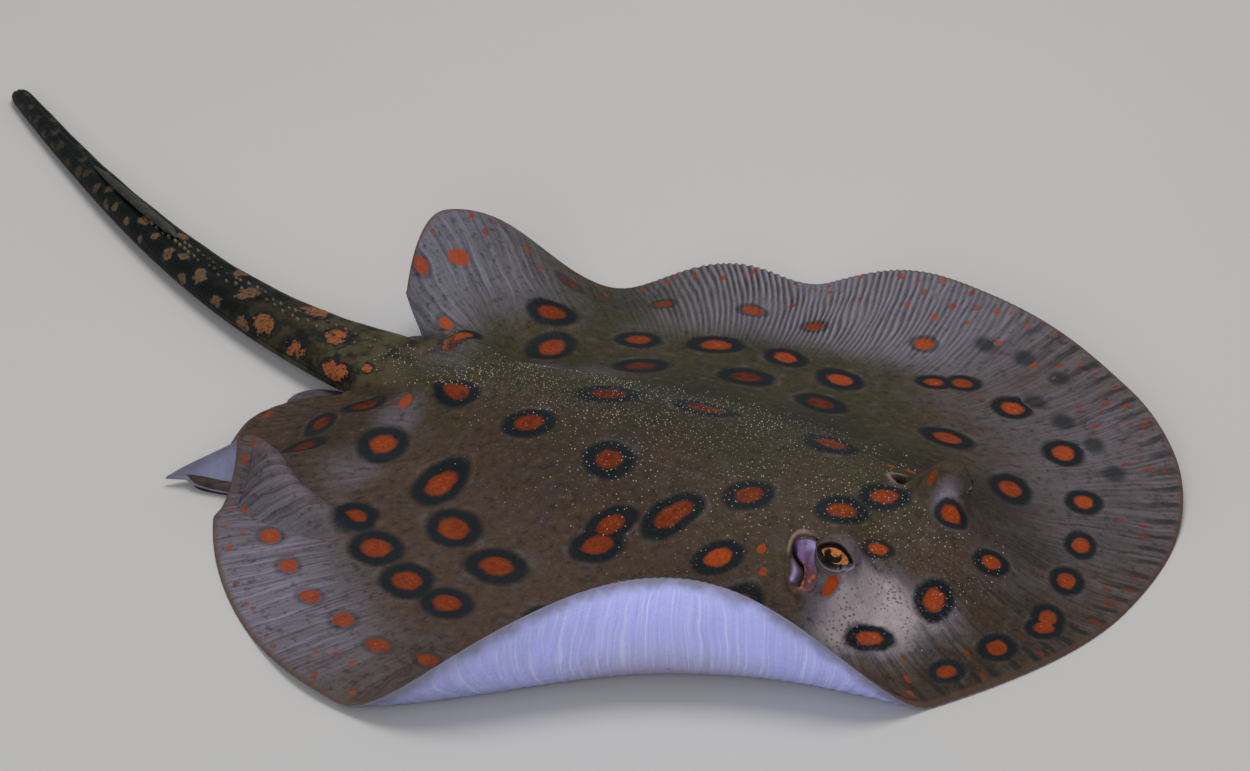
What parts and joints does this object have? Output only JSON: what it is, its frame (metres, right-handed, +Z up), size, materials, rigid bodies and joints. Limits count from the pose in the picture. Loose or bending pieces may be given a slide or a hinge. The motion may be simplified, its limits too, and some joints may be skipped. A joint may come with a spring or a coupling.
{
  "type": "ocellate river stingray, life-size model",
  "caption": "Freshwater stingray lying flat, with a round disc whose right edge is rolled up over the back, waved left edge, stout tail and short sting.",
  "frame": {"origin": "on the floor under the middle of the disc, at the level the animal lies on", "axes": "+X to the snout, +Y to the animal's left, +Z up; the disc's widest line runs along Y and the tail trails towards -X, bent to the left"},
  "size_m": [0.6347, 0.3593, 0.0472],
  "materials": {
    "skin": "wet-looking satin skin, dark brown back with orange eye-spots ringed in black, lilac-white belly",
    "denticle": "small pale tooth-like skin points",
    "sting": "dark bone with a thin skin",
    "eye": "wet eye, orange-brown iris and black crescent pupil",
    "eye_lens": "clear cornea"
  },
  "bodies": {
    "root": {"head": "skin", "trunk": "skin", "tail_base": "skin", "tail_middle": "skin", "tail_tip": "skin", "pelvic_fin_right": "skin", "pelvic_fin_left": "skin", "left_fin_front": "skin", "left_fin_shoulder": "skin", "left_fin_middle": "skin", "left_fin_rear": "skin", "right_fin_rear_corner": "skin", "right_fin_rear": "skin", "right_fin_roll_rear": "skin", "right_fin_roll_front": "skin", "right_fin_front": "skin", "sting": "sting", "eye_right": "eye", "eye_left": "eye"}
  },
  "joints": []
}
